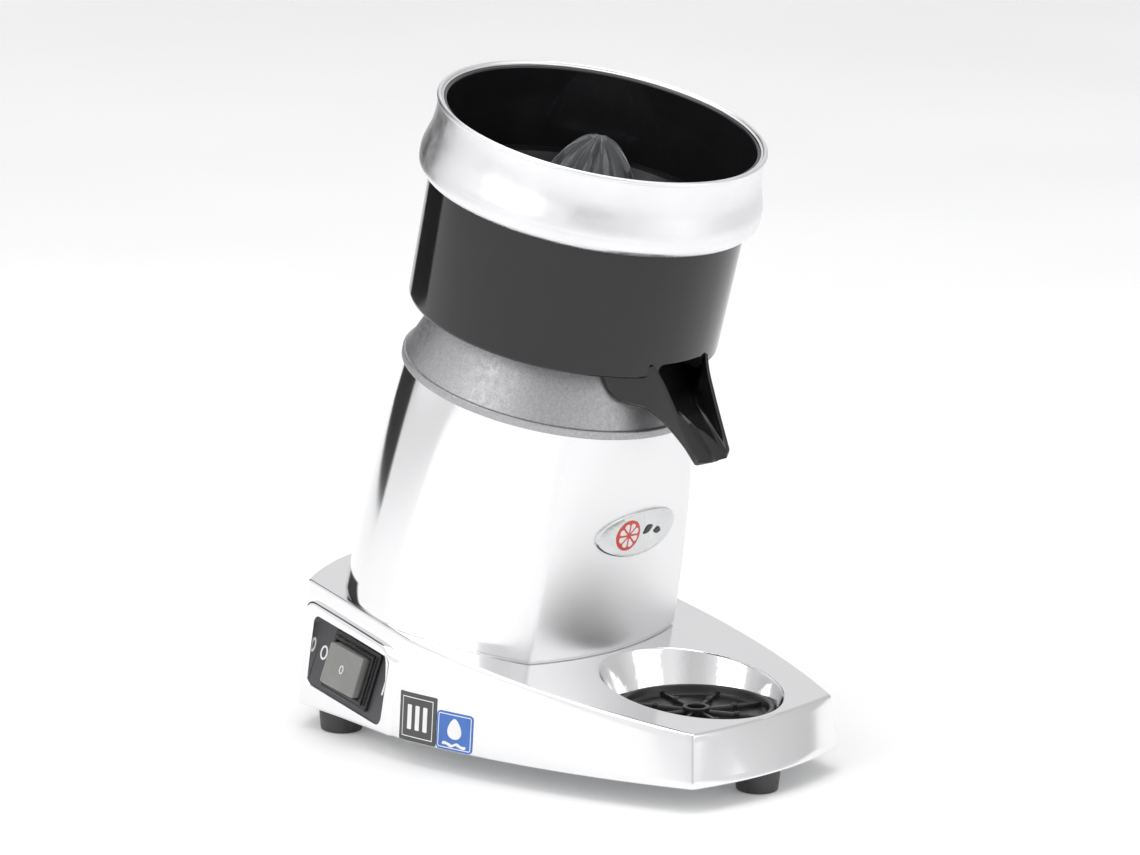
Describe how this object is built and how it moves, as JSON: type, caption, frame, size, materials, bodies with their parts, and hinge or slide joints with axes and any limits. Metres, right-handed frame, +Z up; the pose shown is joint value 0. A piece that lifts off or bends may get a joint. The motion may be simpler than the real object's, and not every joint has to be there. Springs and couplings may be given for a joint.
{
  "type": "citrus press juicer",
  "caption": "Electric citrus press: leaning motor housing on a cast base, black bowl with a spout, satin splash band, ribbed reamer and a recess for the glass.",
  "frame": {"origin": "on the table under the middle of the base", "axes": "+Z up, front towards -Y, the object's own right towards +X"},
  "size_m": [0.186, 0.28, 0.3498],
  "materials": {
    "polished_aluminium": "mirror-polished cast aluminium",
    "satin_aluminium": "satin spun aluminium",
    "raw_casting": "as-cast mottled grey",
    "bowl_black": "glossy moulded black",
    "smoked_plastic": "smoked translucent plastic",
    "strainer_steel": "pressed stainless steel",
    "sheet_steel": "zinc-coated sheet",
    "zinc_steel": "zinc-plated fasteners",
    "lamination_steel": "stacked laminations",
    "bearing_steel": "ground steel",
    "copper_winding": "lacquered copper wire",
    "foot_rubber": "dark grey moulded rubber",
    "panel_black": "dark grey moulded panel",
    "switch_black": "black moulded switch",
    "boot_clear": "translucent grey silicone",
    "fan_plastic": "moulded plastic",
    "capacitor_case": "white plastic case",
    "terminal_plastic": "natural nylon",
    "badge_metal": "anodised plate",
    "label_dark": "printed film",
    "label_blue": "printed film"
  },
  "bodies": {
    "root": {"base_casting": "polished_aluminium", "base_cover": "sheet_steel", "cover_screws": "zinc_steel", "foot_front": "foot_rubber", "foot_rear_left": "foot_rubber", "foot_rear_right": "foot_rubber", "foot_screws": "zinc_steel", "motor_housing": "polished_aluminium", "housing_screws": "zinc_steel", "collar": "raw_casting", "lower_bracket": "sheet_steel", "upper_bracket": "sheet_steel", "stator_core": "lamination_steel", "lower_winding": "copper_winding", "upper_winding": "copper_winding", "tie_bolts": "zinc_steel", "mounting_plate": "raw_casting", "plate_screws": "zinc_steel", "lower_bearing": "bearing_steel", "upper_bearing": "bearing_steel", "shaft_seal": "foot_rubber", "switch_panel": "panel_black", "switch_bezel": "switch_black", "switch_body": "switch_black", "capacitor": "capacitor_case", "capacitor_strap": "sheet_steel", "terminal_block": "terminal_plastic", "cable_gland": "switch_black", "badge": "badge_metal", "dark_label": "label_dark", "blue_label": "label_blue"},
    "shaft": {"rotor": "lamination_steel", "motor_shaft": "bearing_steel", "drive_pin": "bearing_steel", "slinger": "foot_rubber", "cooling_fan": "fan_plastic"},
    "bowl": {"bowl": "bowl_black"},
    "splash_band": {"splash_band": "satin_aluminium"},
    "strainer": {"strainer": "strainer_steel"},
    "hub": {"drive_hub": "fan_plastic"},
    "reamer": {"reamer": "smoked_plastic"},
    "rocker": {"rocker": "switch_black", "rocker_boot": "boot_clear"},
    "tray": {"glass_tray": "bowl_black"}
  },
  "joints": [
    {"name": "shaft_spin", "type": "hinge", "parent": "root", "child": "shaft", "pos_m": [0, 0.02928, 0.14639], "axis": [0, -0.2181, 0.9759], "continuous": true},
    {"name": "bowl_lift", "type": "slide", "parent": "root", "child": "bowl", "axis": [0, -0.2181, 0.9759], "range_m": [0, 0.12]},
    {"name": "band_lift", "type": "slide", "parent": "bowl", "child": "splash_band", "axis": [0, -0.2181, 0.9759], "range_m": [0, 0.06]},
    {"name": "strainer_lift", "type": "slide", "parent": "bowl", "child": "strainer", "axis": [0, -0.2181, 0.9759], "range_m": [0, 0.1]},
    {"name": "hub_spin", "type": "hinge", "parent": "strainer", "child": "hub", "pos_m": [0, 0.0031, 0.2635], "axis": [0, -0.2181, 0.9759], "continuous": true},
    {"name": "reamer_lift", "type": "slide", "parent": "hub", "child": "reamer", "axis": [0, -0.2181, 0.9759], "range_m": [0, 0.06]},
    {"name": "rocker_tilt", "type": "hinge", "parent": "root", "child": "rocker", "pos_m": [-0.07627, 0.08013, 0.03746], "axis": [0.1935, -0.1844, 0.9636], "range_deg": [-10, 0]},
    {"name": "tray_lift", "type": "slide", "parent": "root", "child": "tray", "axis": [0, 0, 1], "range_m": [0, 0.04]}
  ],
  "couplings": [
    {"joint": "hub_spin", "follows": "shaft_spin", "ratio": 1}
  ]
}
